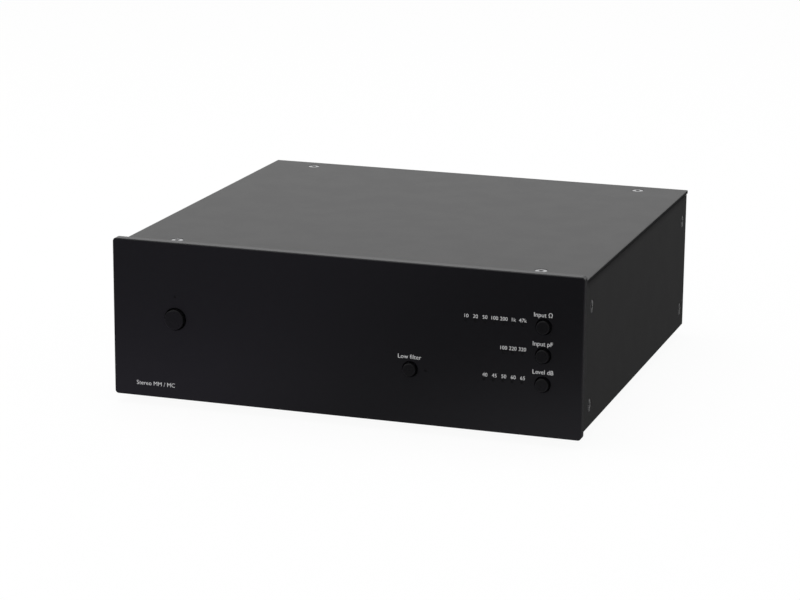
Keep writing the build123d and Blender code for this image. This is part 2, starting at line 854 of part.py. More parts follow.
header_low_x = ribbon_offset - header_width / 2
header_high_x = ribbon_offset + header_width / 2
with BuildPart() as ribbon_headers:
    add(
        box_between(
            (header_low_x, board_rear_y, ribbon_z - header_height / 2),
            (header_high_x, ribbon_start_y, ribbon_z + header_height / 2),
        )
    )
    add(
        box_between(
            (header_low_x, ribbon_drop_y - header_height / 2, main_board_top_z),
            (header_high_x, ribbon_drop_y + header_height / 2, ribbon_end_z),
        )
    )

# Rear sockets
shell_end_y = rear_y + socket_projection
insulator_end_y = shell_end_y - insulator_recess
contact_end_y = insulator_end_y - insulator_mouth_depth
tail_setbacks = {lower_socket_z: short_tail_setback, upper_socket_z: long_tail_setback}
tail_rows_y = [housing_back_y - setback + tail_thickness / 2 for setback in tail_setbacks.values()]
tail_spots = [(x, y) for x in socket_pair_x for y in tail_rows_y]


def socket_housing(x):
    """block on the main board that holds two sockets, one above the other"""
    front = rear_y - rear_panel_thickness
    low = (x - housing_width / 2, housing_back_y, main_board_top_z)
    high = (x + housing_width / 2, front, upper_socket_z + housing_top_margin)
    with BuildPart() as housing:
        add(box_between(low, high))
        with BuildSketch(upright(rear_y)):
            with Locations((x, lower_socket_z), (x, upper_socket_z)):
                Circle(boss_radius)
        extrude(amount=rear_panel_thickness)
        with BuildSketch(upright(rear_y)):
            with Locations((x, lower_socket_z), (x, upper_socket_z)):
                Circle(shell_root_radius + socket_play)
        extrude(amount=shell_depth, mode=Mode.SUBTRACT)
        with BuildSketch(upright(rear_y)):
            with Locations((x, lower_socket_z), (x, upper_socket_z)):
                Circle(contact_radius + socket_play)
        extrude(amount=rear_y - housing_back_y, mode=Mode.SUBTRACT)
        with BuildSketch(upright(front)):
            with Locations((x, socket_screw_z)):
                Circle(screw_radius + thread_play)
        extrude(amount=socket_screw_length, mode=Mode.SUBTRACT)
    return housing.part


def socket_contact(x, z, setback):
    """bored centre contact whose tail runs down behind the housing and through the main board"""
    back_y = housing_back_y - setback
    with BuildPart() as contact:
        with BuildSketch(upright(contact_end_y)):
            with Locations((x, z)):
                Circle(contact_radius)
        extrude(amount=contact_end_y - back_y)
        with BuildSketch(upright(contact_end_y)):
            with Locations((x, z)):
                Circle(contact_bore_radius)
        extrude(amount=contact_bore_depth, mode=Mode.SUBTRACT)
        tail_low = (x - tail_width / 2, back_y, main_board_bottom_z - tail_reach)
        add(box_between(tail_low, (x + tail_width / 2, back_y + tail_thickness, z)))
    return contact.part


def insulators(z):
    """one ring for each socket at the height z, stepped inwards at its mouth"""
    spots = [(x, z) for x in socket_pair_x]
    with BuildPart() as rings:
        with BuildSketch(upright(insulator_end_y)):
            with Locations(*spots):
                Circle(shell_bore_radius - socket_play)
                Circle(insulator_mouth_radius, mode=Mode.SUBTRACT)
        extrude(amount=insulator_end_y - rear_y + shell_depth)
        with BuildSketch(upright(contact_end_y)):
            with Locations(*spots):
                Circle(contact_radius + socket_play)
        extrude(amount=contact_end_y - rear_y + shell_depth, mode=Mode.SUBTRACT)
    return rings.part


with BuildPart() as socket_housings:
    for x in socket_pair_x:
        add(socket_housing(x))

with BuildPart() as socket_shells:
    with BuildSketch(upright(shell_end_y)):
        with Locations(*socket_spots):
            Circle(shell_radius)
    extrude(amount=socket_projection)
    chamfer(socket_shells.edges().group_by(Axis.Y)[-1], length=shell_chamfer)
    with BuildSketch(upright(rear_y)):
        with Locations(*socket_spots):
            Circle(shell_root_radius)
    extrude(amount=shell_depth)
    with BuildSketch(upright(shell_end_y)):
        with Locations(*socket_spots):
            Circle(shell_bore_radius)
    extrude(amount=socket_projection + shell_depth, mode=Mode.SUBTRACT)

right_channel_insulators = insulators(lower_socket_z)
left_channel_insulators = insulators(upper_socket_z)

with BuildPart() as socket_contacts:
    for x in socket_pair_x:
        for z, setback in tail_setbacks.items():
            add(socket_contact(x, z, setback))

socket_screws = copies(
    pan_screw(socket_screw_length, socket_screw_head_radius),
    [facing_rear(x, rear_y, socket_screw_z) for x in socket_pair_x],
)

# Ground terminal: bush behind the rear panel, captive washer and knurled thumb screw
bush_length = terminal_pitch * terminal_turns + terminal_engagement
bush_front_y = rear_y - rear_panel_thickness - bush_length
washer_front_y = rear_y + washer_gap
knob_front_y = washer_front_y + washer_thickness + washer_gap
knob_end_y = knob_front_y + knob_length
with BuildPart() as ground_bush:
    with BuildSketch(upright(rear_y - rear_panel_thickness)):
        with Locations((ground_x, ground_z)):
            RegularPolygon(bush_width / 2, 6, major_radius=False)
            Circle(terminal_radius + terminal_thread_play, mode=Mode.SUBTRACT)
    extrude(amount=bush_length)

with BuildPart() as ground_washer:
    with BuildSketch(upright(washer_front_y)):
        with Locations((ground_x, ground_z)):
            Circle(washer_radius)
            Circle(terminal_radius + washer_play, mode=Mode.SUBTRACT)
    extrude(amount=-washer_thickness)

with BuildPart() as ground_thumb_screw:
    with BuildSketch(upright(knob_front_y)):
        with Locations((ground_x, ground_z)):
            Circle(knob_radius)
    extrude(amount=-knob_length)
    chamfer(ground_thumb_screw.edges().filter_by(GeomType.CIRCLE), length=knob_chamfer)
    with BuildSketch(upright(knob_front_y)):
        with Locations((ground_x, ground_z)):
            with PolarLocations(knob_radius, knurl_count):
                Circle(knurl_radius)
    extrude(amount=-knob_length, mode=Mode.SUBTRACT)
    with BuildSketch(upright(knob_end_y)):
        with Locations((ground_x, ground_z)):
            Rectangle(2 * knob_radius, knob_slot_width)
    extrude(amount=knob_slot_depth, mode=Mode.SUBTRACT)
    with BuildSketch(upright(knob_front_y)):
        with Locations((ground_x, ground_z)):
            Circle(terminal_radius)
    extrude(amount=knob_front_y - bush_front_y)


def cut_corner_points(width, height, corner_cut):
    """outline around the data socket's axis: a rectangle whose two upper corners are cut off"""
    return [
        (data_x - width / 2, data_z - height / 2),
        (data_x + width / 2, data_z - height / 2),
        (data_x + width / 2, data_z + height / 2 - corner_cut),
        (data_x + width / 2 - corner_cut, data_z + height / 2),
        (data_x - width / 2 + corner_cut, data_z + height / 2),
        (data_x - width / 2, data_z + height / 2 - corner_cut),
    ]


# Data socket: metal sleeve with an insert whose tongue stands in the opening
data_end_y = rear_y + data_projection
data_insert_end_y = data_end_y - data_insert_recess
data_inner_width = data_width - 2 * data_wall
data_inner_height = data_height - 2 * data_wall
with BuildPart() as data_socket_shell:
    with BuildSketch(upright(data_end_y)):
        with BuildLine():
            Polyline(*cut_corner_points(data_width, data_height, data_corner_cut), close=True)
        make_face()
        with BuildLine():
            Polyline(*cut_corner_points(data_inner_width, data_inner_height, data_corner_cut), close=True)
        make_face(mode=Mode.SUBTRACT)
    extrude(amount=data_length)

with BuildPart() as data_socket_insert:
    with BuildSketch(upright(data_insert_end_y)):
        insert_width = data_inner_width - 2 * socket_play
        insert_height = data_inner_height - 2 * socket_play
        with BuildLine():
            Polyline(*cut_corner_points(insert_width, insert_height, data_corner_cut), close=True)
        make_face()
    extrude(amount=data_length - data_insert_recess)
    with BuildSketch(upright(data_insert_end_y)):
        opening = cut_corner_points(data_opening_width, data_opening_height, data_opening_cut)
        with BuildLine():
            Polyline(*opening, close=True)
        make_face()
    extrude(amount=data_opening_depth, mode=Mode.SUBTRACT)
    with BuildSketch(upright(data_insert_end_y - tongue_setback)):
        with Locations((data_x, data_z)):
            Rectangle(tongue_width, tongue_height)
    extrude(amount=data_opening_depth - tongue_setback)

# Supply socket: round nose with a bore and a centre pin
supply_end_y = rear_y + supply_projection
supply_front_y = rear_y - rear_panel_thickness - supply_length
with BuildPart() as supply_socket_body:
    add(
        box_between(
            (supply_x - supply_width / 2, supply_front_y, main_board_top_z),
            (supply_x + supply_width / 2, rear_y - rear_panel_thickness, main_board_top_z + supply_height),
        )
    )
    with BuildSketch(upright(supply_end_y)):
        with Locations((supply_x, supply_z)):
            Circle(supply_nose_radius)
    extrude(amount=supply_projection + rear_panel_thickness)
    with BuildSketch(upright(supply_end_y)):
        with Locations((supply_x, supply_z)):
            Circle(supply_bore_radius)
    extrude(amount=supply_bore_depth, mode=Mode.SUBTRACT)
    with BuildSketch(upright(supply_end_y - supply_bore_depth)):
        with Locations((supply_x, supply_z)):
            Circle(supply_pin_radius + socket_play)
    extrude(amount=supply_pin_root, mode=Mode.SUBTRACT)

with BuildPart() as supply_socket_pin:
    with BuildSketch(upright(supply_end_y - supply_pin_setback)):
        with Locations((supply_x, supply_z)):
            Circle(supply_pin_radius)
    extrude(amount=supply_bore_depth - supply_pin_setback + supply_pin_root)
    fillet(supply_socket_pin.edges().sort_by(Axis.Y)[-1], radius=supply_pin_radius / 2)

# Main board, with holes for its screws and for the tails of the socket contacts
with BuildPart() as main_board:
    main_board_low = (-main_board_half_width, main_board_front_y, main_board_bottom_z)
    add(box_between(main_board_low, (main_board_half_width, main_board_rear_y, main_board_top_z)))
    with Locations(*[(x, y, main_board_top_z) for x, y in main_hole_spots]):
        Hole(radius=screw_radius + clearance_play, depth=board_thickness)
    with Locations(*[(x, y, main_board_top_z) for x, y in tail_spots]):
        Hole(radius=tail_hole_radius, depth=board_thickness)

main_board_spacers = copies(hex_spacer(main_board_rise), [(x, y, floor_top_z) for x, y in main_hole_spots])
main_board_screws = copies(board_screw, [(x, y, main_board_top_z) for x, y in main_hole_spots])


def from_right_end(inset, setback):
    """a place on the main board, from its right end and its middle"""
    return main_board_half_width - inset, main_board_middle_y + setback


def from_left_end(inset, setback):
    """a place on the main board, from its left end and its middle"""
    return inset - main_board_half_width, main_board_middle_y + setback


def blocks_on_board(size, centre, pitches=(0, 0), columns=1, rows=1):
    """equal blocks on the main board, in columns and rows around their centre"""
    with BuildPart() as blocks:
        with BuildSketch(Plane.XY.offset(main_board_top_z)):
            with Locations(centre):
                with GridLocations(pitches[0], pitches[1], columns, rows):
                    Rectangle(size[0], size[1])
        extrude(amount=size[2])
    return blocks.part


relay_centre = from_right_end(relay_right_inset, relay_setback)
with BuildPart() as switching_relays:
    add(blocks_on_board(relay_size, relay_centre, relay_pitches, relay_column_count, relay_row_count))
    chamfer(switching_relays.faces().group_by(Axis.Z)[-1].edges(), length=relay_edge_chamfer)

film_centre = from_right_end(film_right_inset, film_setback)
with BuildPart() as film_capacitors:
    add(blocks_on_board(film_size, film_centre, film_pitches, film_column_count, film_row_count))
    chamfer(film_capacitors.faces().group_by(Axis.Z)[-1].edges(), length=film_edge_chamfer)

chip_centre = from_right_end(chip_right_inset, chip_setback)
with BuildPart() as amplifier_chips:
    add(blocks_on_board(chip_size, chip_centre, chip_pitches, chip_column_count, chip_row_count))
    with BuildSketch(Plane.XY.offset(main_board_top_z + chip_size[2])):
        with Locations((chip_centre[0] - chip_size[0] / 2, chip_centre[1])):
            with GridLocations(chip_pitches[0], chip_pitches[1], chip_column_count, chip_row_count):
                Circle(chip_notch_radius)
    extrude(amount=-chip_notch_depth, mode=Mode.SUBTRACT)

microcontroller = blocks_on_board(processor_size, from_left_end(processor_left_inset, processor_setback))
converter_chip = blocks_on_board(converter_size, from_left_end(converter_left_inset, converter_setback))
with BuildPart() as crystal:
    with BuildSketch(Plane.XY.offset(main_board_top_z)):
        with Locations(from_left_end(crystal_left_inset, crystal_setback)):
            SlotOverall(crystal_size[0], crystal_size[1])
    extrude(amount=crystal_size[2])

with BuildPart() as electrolytic_capacitors:
    with BuildSketch(Plane.XY.offset(main_board_top_z)):
        with Locations((can_x, main_board_middle_y + can_setback)):
            with GridLocations(can_pitch, can_pitch, can_row_count, can_row_count):
                Circle(can_radius)
    extrude(amount=can_height)
    fillet(electrolytic_capacitors.edges().group_by(Axis.Z)[-1], radius=can_edge_radius)

with BuildPart() as filter_coils:
    with BuildSketch(Plane.XY.offset(main_board_top_z)):
        with Locations((coil_x, main_board_middle_y + coil_setback)):
            with GridLocations(coil_pitch, coil_pitch, coil_row_count, coil_row_count):
                Circle(coil_radius)
                Circle(coil_bore_radius, mode=Mode.SUBTRACT)
    extrude(amount=coil_height)

# Heat sink: upright comb with its flat side to the front, and the regulators screwed to that side
sink_x, sink_face_y = from_left_end(sink_left_inset, sink_setback)
regulator_tab_low_z = main_board_top_z + regulator_rise
regulator_tab_top_z = regulator_tab_low_z + tab_height
regulator_spots = [(sink_x - regulator_pitch / 2, sink_face_y), (sink_x + regulator_pitch / 2, sink_face_y)]
regulator_screw_z = regulator_tab_top_z - tab_hole_drop
with BuildPart() as heat_sink:
    with BuildSketch(Plane.XY.offset(main_board_top_z)):
        with Locations((sink_x, sink_face_y + sink_base / 2)):
            Rectangle(sink_width, sink_base)
        with Locations((sink_x, sink_face_y + sink_base + sink_fin_length / 2)):
            with GridLocations(sink_fin_pitch, sink_fin_length, sink_fin_count, 1):
                Rectangle(sink_fin_thickness, sink_fin_length)
    extrude(amount=sink_height)
    with BuildSketch(upright(sink_face_y)):
        with Locations(*[(x, regulator_screw_z) for x, y in regulator_spots]):
            Circle(screw_radius + thread_play)
    extrude(amount=-sink_base, mode=Mode.SUBTRACT)

with BuildPart() as voltage_regulators:
    with BuildSketch(upright(sink_face_y)):
        for x, y in regulator_spots:
            with Locations((x, (regulator_tab_low_z + regulator_tab_top_z) / 2)):
                Rectangle(tab_width, tab_height)
            with Locations((x, regulator_screw_z)):
                Circle(screw_radius + clearance_play, mode=Mode.SUBTRACT)
    extrude(amount=tab_thickness)
    with BuildSketch(upright(sink_face_y - tab_thickness)):
        with Locations(*[(x, regulator_tab_low_z + regulator_body_height / 2) for x, y in regulator_spots]):
            Rectangle(tab_width, regulator_body_height)
    extrude(amount=regulator_body_depth)
    with BuildSketch(upright(sink_face_y - tab_thickness)):
        with Locations(*[(x, main_board_top_z + regulator_rise / 2) for x, y in regulator_spots]):
            with GridLocations(lead_pitch, regulator_rise, 3, 1):
                Rectangle(lead_width, regulator_rise)
    extrude(amount=lead_thickness)

regulator_face_y = sink_face_y - tab_thickness
regulator_screws = copies(
    pan_screw(regulator_screw_length),
    [Location((x, regulator_face_y, regulator_screw_z), (90, 0, 0)) for x, y in regulator_spots],
)

pieces = {
    "front_panel": front_panel.part,
    "front_frame": front_frame.part,
    "rear_panel": rear_panel.part,
    "top_cover": top_cover.part,
    "bottom_plate": bottom_plate.part,
    "left_side_panel": left_side_panel.part,
    "right_side_panel": right_side_panel.part,
    "top_cover_screws": top_cover_screws,
    "bottom_plate_screws": bottom_plate_screws,
    "side_panel_screws": side_panel_screws,
    "front_panel_screws": front_panel_screws,
    "rubber_feet": rubber_feet,
    "foot_screws": foot_screws,
    **buttons_and_plungers,
    "power_switch_housing": power_switch_housing,
    "push_switch_housings": push_switch_housings.part,
    "light_pipes": light_pipes.part,
    "light_pipe_holders": light_pipe_holders.part,
    "indicator_diodes": indicator_diodes.part,
    "control_board": control_board.part,
    "control_board_spacers": control_board_spacers,
    "control_board_screws": control_board_screws,
    "ribbon_cable": ribbon_cable.part,
    "ribbon_headers": ribbon_headers.part,
    "main_board": main_board.part,
    "main_board_spacers": main_board_spacers,
    "main_board_screws": main_board_screws,
    "electrolytic_capacitors": electrolytic_capacitors.part,
    "film_capacitors": film_capacitors.part,
    "amplifier_chips": amplifier_chips.part,
    "switching_relays": switching_relays.part,
    "voltage_regulators": voltage_regulators.part,
    "regulator_screws": regulator_screws,
    "heat_sink": heat_sink.part,
    "microcontroller": microcontroller,
    "converter_chip": converter_chip,
    "crystal": crystal.part,
    "filter_coils": filter_coils.part,
    "socket_housings": socket_housings.part,
    "socket_shells": socket_shells.part,
    "left_channel_insulators": left_channel_insulators,
    "right_channel_insulators": right_channel_insulators,
    "socket_contacts": socket_contacts.part,
    "socket_screws": socket_screws,
    "ground_bush": ground_bush.part,
    "ground_washer": ground_washer.part,
    "ground_thumb_screw": ground_thumb_screw.part,
    "data_socket_shell": data_socket_shell.part,
    "data_socket_insert": data_socket_insert.part,
    "supply_socket_body": supply_socket_body.part,
    "supply_socket_pin": supply_socket_pin.part,
}
for name, piece in pieces.items():
    piece.label = name
    export_step(piece, f"parts/{name}.step")
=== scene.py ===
import json
from math import pi, radians

import bpy
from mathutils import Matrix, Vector


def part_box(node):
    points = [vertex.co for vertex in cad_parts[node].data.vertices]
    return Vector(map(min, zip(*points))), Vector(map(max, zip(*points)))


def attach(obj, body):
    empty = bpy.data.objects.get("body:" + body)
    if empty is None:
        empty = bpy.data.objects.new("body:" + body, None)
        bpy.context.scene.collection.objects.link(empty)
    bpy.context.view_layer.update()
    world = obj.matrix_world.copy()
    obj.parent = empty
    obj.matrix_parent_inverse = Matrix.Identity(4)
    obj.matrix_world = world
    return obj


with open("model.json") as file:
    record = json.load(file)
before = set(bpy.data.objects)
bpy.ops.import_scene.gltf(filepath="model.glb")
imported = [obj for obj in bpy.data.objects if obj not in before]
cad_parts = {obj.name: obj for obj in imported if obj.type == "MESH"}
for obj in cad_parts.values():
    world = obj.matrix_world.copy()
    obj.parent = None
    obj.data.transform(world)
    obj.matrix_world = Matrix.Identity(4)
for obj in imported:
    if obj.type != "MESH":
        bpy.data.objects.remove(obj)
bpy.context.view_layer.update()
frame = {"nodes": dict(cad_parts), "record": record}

mm = 0.001
scene = bpy.context.scene
nodes = frame["nodes"]
print("frame loaded:", len(nodes), "nodes")


def deselectAll():
    if bpy.context.object and bpy.context.object.mode != "OBJECT":
        bpy.ops.object.mode_set(mode="OBJECT")
    bpy.ops.object.select_all(action="DESELECT")


def onlySelect(pieces):
    deselectAll()
    for piece in pieces:
        piece.select_set(True)
    bpy.context.view_layer.objects.active = pieces[0]


# Steps that the materials are made of
def newMaterial(name):
    material = bpy.data.materials.new(name)
    material.use_nodes = True
    return material, material.node_tree


def sums(tree, operation, first, second, clamp=False):
    step = tree.nodes.new("ShaderNodeMath")
    step.operation = operation
    step.use_clamp = clamp
    for socket, value in ((step.inputs[0], first), (step.inputs[1], second)):
        if isinstance(value, (int, float)):
            socket.default_value = value
        else:
            tree.links.new(value, socket)
    return step.outputs[0]


def spread(tree, value, fromLow, fromHigh, toLow=0.0, toHigh=1.0):
    step = tree.nodes.new("ShaderNodeMapRange")
    step.interpolation_type = "SMOOTHSTEP"
    tree.links.new(value, step.inputs["Value"])
    step.inputs["From Min"].default_value = fromLow
    step.inputs["From Max"].default_value = fromHigh
    step.inputs["To Min"].default_value = toLow
    step.inputs["To Max"].default_value = toHigh
    return step.outputs["Result"]


def mixColour(tree, mask, first, second, clamped=True):
    step = tree.nodes.new("ShaderNodeMix")
    step.data_type = "RGBA"
    step.clamp_factor = clamped
    tree.links.new(mask, step.inputs["Factor"])
    for socket, value in ((step.inputs["A"], first), (step.inputs["B"], second)):
        if isinstance(value, tuple):
            socket.default_value = (*value, 1)
        else:
            tree.links.new(value, socket)
    return step.outputs["Result"]


def objectPlace(tree):
    return tree.nodes.new("ShaderNodeTexCoord").outputs["Object"]


def axisValue(tree, axis):
    split = tree.nodes.new("ShaderNodeSeparateXYZ")
    tree.links.new(objectPlace(tree), split.inputs[0])
    return split.outputs[axis]


def whiteForLookers(tree):  # 1 for camera, glossy and transmission rays
    path = tree.nodes.new("ShaderNodeLightPath")
    seen = sums(tree, "MAXIMUM", path.outputs["Is Camera Ray"], path.outputs["Is Glossy Ray"])
    return sums(tree, "MAXIMUM", seen, path.outputs["Is Transmission Ray"])


def blendShaders(tree, mask, first, second):
    blend = tree.nodes.new("ShaderNodeMixShader")
    tree.links.new(mask, blend.inputs["Fac"])
    tree.links.new(first.outputs[0], blend.inputs[1])
    tree.links.new(second.outputs[0], blend.inputs[2])
    return blend.outputs[0]


# Camera and studio
camera = {
    "place": (358.44, -1110.71, 326.74),  # mm
    "turn": (75.7395, -0.4753, 18.3515),  # degrees
    "lens": 120.70,  # mm
    "sensor": 36.0,  # mm
    "farthest": 60.0,  # m
}


def makeCamera():
    bpy.ops.object.camera_add(
        location=[v * mm for v in camera["place"]],
        rotation=[radians(v) for v in camera["turn"]],
    )
    eye = bpy.context.object
    eye.name = "camera"
    eye.data.lens = camera["lens"]
    eye.data.sensor_width = camera["sensor"]
    eye.data.sensor_fit = "HORIZONTAL"
    eye.data.clip_end = camera["farthest"]
    scene.camera = eye


paleFloor = {
    "size": 14.0,  # m
    "colour": (0.82, 0.82, 0.82),
    "roughness": 0.9,
    "specular": 0.1,
    "white": 0.94,  # how far it goes to plain white for the camera and for reflections
}


def makeFloor():
    bpy.ops.mesh.primitive_plane_add(size=paleFloor["size"])
    floor = bpy.context.object
    floor.name = "floor"
    paint, tree = newMaterial("floorPaper")
    shader = tree.nodes["Principled BSDF"]
    shader.inputs["Base Color"].default_value = (*paleFloor["colour"], 1)
    shader.inputs["Roughness"].default_value = paleFloor["roughness"]
    shader.inputs["Specular IOR Level"].default_value = paleFloor["specular"]
    glow = tree.nodes.new("ShaderNodeEmission")
    white = sums(tree, "MULTIPLY", whiteForLookers(tree), paleFloor["white"])
    blend = blendShaders(tree, white, shader, glow)
    tree.links.new(blend, tree.nodes["Material Output"].inputs["Surface"])
    floor.data.materials.append(paint)


darkCard = {
    # lies on the floor and glows, seen only in reflections: painted reflections that keep the upright faces
    # dark
    "reach": 1.5,  # m
    "height": 0.0002,  # m
    "tints": ((1.0, 0.92, 1.16), (1.0, 0.98, 1.05)),  # painted reflection tints before the left end, for its violet sheen, and before the rest
    "far": 0.02,  # painted reflection brightness in front of the object, away from it
    "near": (0.58, 1.12),  # painted reflection added at the foot of the front panel, at its middle and at its right end
    "nearReach": 0.20,  # m
    "left": 0.44,  # painted sheen added towards the left end
    "leftFade": 0.2,  # where that has faded out, as a share of the way from the middle to the right end
    "beside": 0.13,  # painted reflection brightness behind the front panel
}


# colour of the card's glow: painted reflections, brighter at the front panel's foot and towards its left
# end
def paintedReflectionColour(tree):
    across, along = axisValue(tree, "X"), axisValue(tree, "Y")
    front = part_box("front_panel")[0].y
    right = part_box("front_panel")[1].x
    foot = spread(tree, along, front - darkCard["nearReach"], front)
    near = sums(tree, "MULTIPLY", foot, spread(tree, across, 0.0, right, *darkCard["near"]))
    leftShare = spread(tree, across, -right, right * darkCard["leftFade"], 1.0, 0.0)
    left = sums(tree, "MULTIPLY", leftShare, darkCard["left"])
    ahead = sums(tree, "ADD", sums(tree, "ADD", near, left), darkCard["far"])
    tint = mixColour(tree, leftShare, darkCard["tints"][1], darkCard["tints"][0])
    tinted = mixColour(tree, ahead, (0.0, 0.0, 0.0), tint, clamped=False)
    behind = sums(tree, "GREATER_THAN", along, front)
    return mixColour(tree, behind, tinted, (darkCard["beside"],) * 3)


# a glowing sheet that is no lamp: it paints reflections on the object
def makeCard():
    bpy.ops.mesh.primitive_plane_add(size=2 * darkCard["reach"], location=(0, 0, darkCard["height"]))
    card = bpy.context.object
    card.name = "darkCard"
    paint, tree = newMaterial("paintedReflectionGlow")
    glow = tree.nodes.new("ShaderNodeEmission")
    tree.links.new(paintedReflectionColour(tree), glow.inputs["Color"])
    tree.links.new(glow.outputs[0], tree.nodes["Material Output"].inputs["Surface"])
    card.data.materials.append(paint)
    card.visible_camera = False
    card.visible_diffuse = False
    card.visible_transmission = False
    card.visible_shadow = False


lamps = {
    # name: place and size in metres, power in watts
    "overheadSoftbox": ((-0.25, 0.15, 1.7), 1.6, 27.0),
    "frontLeftSoftbox": ((-1.3, -1.5, 0.75), 1.0, 9.0),
    "rearRightSoftbox": ((1.5, 1.3, 0.9), 1.0, 7.0),
}
lampTarget = Vector((0, 0, 0.03))  # m


def makeLamps():
    for name, (place, size, power) in lamps.items():
        bpy.ops.object.light_add(type="AREA", location=place)
        lamp = bpy.context.object
        lamp.name = name
        lamp.data.size = size
        lamp.data.energy = power
        lamp.rotation_euler = (lampTarget - Vector(place)).to_track_quat("-Z", "Y").to_euler()


surroundings = {"ambient": 0.42, "white": 1.0}  # strength on the object, and for lookers


def makeWorld():
    world = bpy.data.worlds.new("studioWorld")
    world.use_nodes = True
    scene.world = world
    tree = world.node_tree
    ambient = tree.nodes["Background"]
    white = tree.nodes.new("ShaderNodeBackground")
    for light, use in ((ambient, "ambient"), (white, "white")):
        light.inputs["Color"].default_value = (1, 1, 1, 1)
        light.inputs["Strength"].default_value = surroundings[use]
    blend = blendShaders(tree, whiteForLookers(tree), ambient, white)
    tree.links.new(blend, tree.nodes["World Output"].inputs["Surface"])


deselectAll()
makeCamera()
makeFloor()
makeCard()
makeLamps()
makeWorld()
scene.view_settings.view_transform = "Standard"
print("camera and studio ready")


# Effects that several finishes share
def newGroup(name, inputs, outputs):
    group = bpy.data.node_groups.new(name, "ShaderNodeTree")
    for label, start in inputs.items():
        socket = group.interface.new_socket(label, in_out="INPUT", socket_type="NodeSocketFloat")
        socket.default_value = start
    for label in outputs:
        group.interface.new_socket(label, in_out="OUTPUT", socket_type="NodeSocketFloat")
    return group, group.nodes.new("NodeGroupInput"), group.nodes.new("NodeGroupOutput")


def noise(tree, scale, detail, place=None, roughness=0.5):
    texture = tree.nodes.new("ShaderNodeTexNoise")
    texture.inputs["Detail"].default_value = detail
    texture.inputs["Roughness"].default_value = roughness
    if isinstance(scale, (int, float)):
        texture.inputs["Scale"].default_value = scale
    else:
        tree.links.new(scale, texture.inputs["Scale"])
    if place is None:
        place = objectPlace(tree)
    tree.links.new(place, texture.inputs["Vector"])
    return texture.outputs["Fac"]


grainForm = {
    "detail": 5.0,
    "roughness": 0.65,
    "pits": 0.6,  # for each grain
    "pitDepth": 0.5,  # against the grains' height
}


def buildGrain():  # fine blasted or moulded surface: pits and grains of the given size
    group, start, end = newGroup("fineGrain", {"Grains per metre": 4000.0}, ["Height"])
    perMetre = start.outputs["Grains per metre"]
    grains = noise(group, perMetre, grainForm["detail"], roughness=grainForm["roughness"])
    pits = group.nodes.new("ShaderNodeTexVoronoi")
    pits.feature = "SMOOTH_F1"
    group.links.new(objectPlace(group), pits.inputs["Vector"])
    group.links.new(sums(group, "MULTIPLY", perMetre, grainForm["pits"]), pits.inputs["Scale"])
    pitted = sums(group, "MULTIPLY", pits.outputs["Distance"], grainForm["pitDepth"])
    group.links.new(sums(group, "ADD", grains, pitted), end.inputs["Height"])
    return group


cloudForm = {
    "slow": (3.0, 0.7),  # detail and share of the large clouds
    "fast": (2.0, 0.3),  # the same of the small ones
    "fastScale": 7.3,  # how many small clouds go along a large one
    "range": (0.35, 0.65),  # of their sum, spread over the whole mask
}


def buildClouds():  # slow change over a surface, from handling and from the dye bath
    group, start, end = newGroup("clouds", {"Clouds per metre": 25.0}, ["Mask"])
    perMetre = start.outputs["Clouds per metre"]
    slowDetail, slowShare = cloudForm["slow"]
    fastDetail, fastShare = cloudForm["fast"]
    slow = sums(group, "MULTIPLY", noise(group, perMetre, slowDetail), slowShare)
    fastPerMetre = sums(group, "MULTIPLY", perMetre, cloudForm["fastScale"])
    fast = sums(group, "MULTIPLY", noise(group, fastPerMetre, fastDetail), fastShare)
    mixed = sums(group, "ADD", slow, fast)
    group.links.new(spread(group, mixed, *cloudForm["range"]), end.inputs["Mask"])
    return group


edgeForm = {
    "samples": 6,  # of the bevel that finds the edges
    "turn": (0.01, 0.20),  # of the normal, where the wear begins and where it is full
    "patchDetail": 3.0,
    "patches": (0.38, 0.62),  # where a patch of wear begins and where it is full
    "between": 0.45,  # share of the wear that stays between the patches
}


def buildEdges():  # 1 along edges and corners, broken up so that the wear isn't even
    group, start, end = newGroup("edgeWear", {"Width": 0.0004, "Break up": 900.0}, ["Mask"])
    bevel = group.nodes.new("ShaderNodeBevel")
    bevel.samples = edgeForm["samples"]
    group.links.new(start.outputs["Width"], bevel.inputs["Radius"])
    surface = group.nodes.new("ShaderNodeNewGeometry")
    along = group.nodes.new("ShaderNodeVectorMath")
    along.operation = "DOT_PRODUCT"
    group.links.new(bevel.outputs["Normal"], along.inputs[0])
    group.links.new(surface.outputs["Normal"], along.inputs[1])
    turned = sums(group, "SUBTRACT", 1.0, along.outputs["Value"])
    edge = spread(group, turned, *edgeForm["turn"])
    broken = noise(group, start.outputs["Break up"], edgeForm["patchDetail"])
    patches = spread(group, broken, *edgeForm["patches"], edgeForm["between"], 1.0)
    group.links.new(sums(group, "MULTIPLY", edge, patches, clamp=True), end.inputs["Mask"])
    return group


speckForm = {
    "patchesPerMetre": 90.0,
    "patchDetail": 1.0,
    "patches": (0.60, 0.66),  # where a patch with dust begins and where it is full
}


def buildSpecks():  # a few dust specks
    group, start, end = newGroup("dustSpecks", {"Specks per metre": 260.0, "Size": 0.06}, ["Mask"])
    cells = group.nodes.new("ShaderNodeTexVoronoi")
    group.links.new(objectPlace(group), cells.inputs["Vector"])
    group.links.new(start.outputs["Specks per metre"], cells.inputs["Scale"])
    near = sums(group, "LESS_THAN", cells.outputs["Distance"], start.outputs["Size"])
    gathered = noise(group, speckForm["patchesPerMetre"], speckForm["patchDetail"])
    some = spread(group, gathered, *speckForm["patches"])
    group.links.new(sums(group, "MULTIPLY", near, some), end.inputs["Mask"])
    return group


streakForm = {
    "squeeze": (0.02, 1.0, 1.0),  # makes the noise 50 times as long along X
    "detail": 3.0,
}


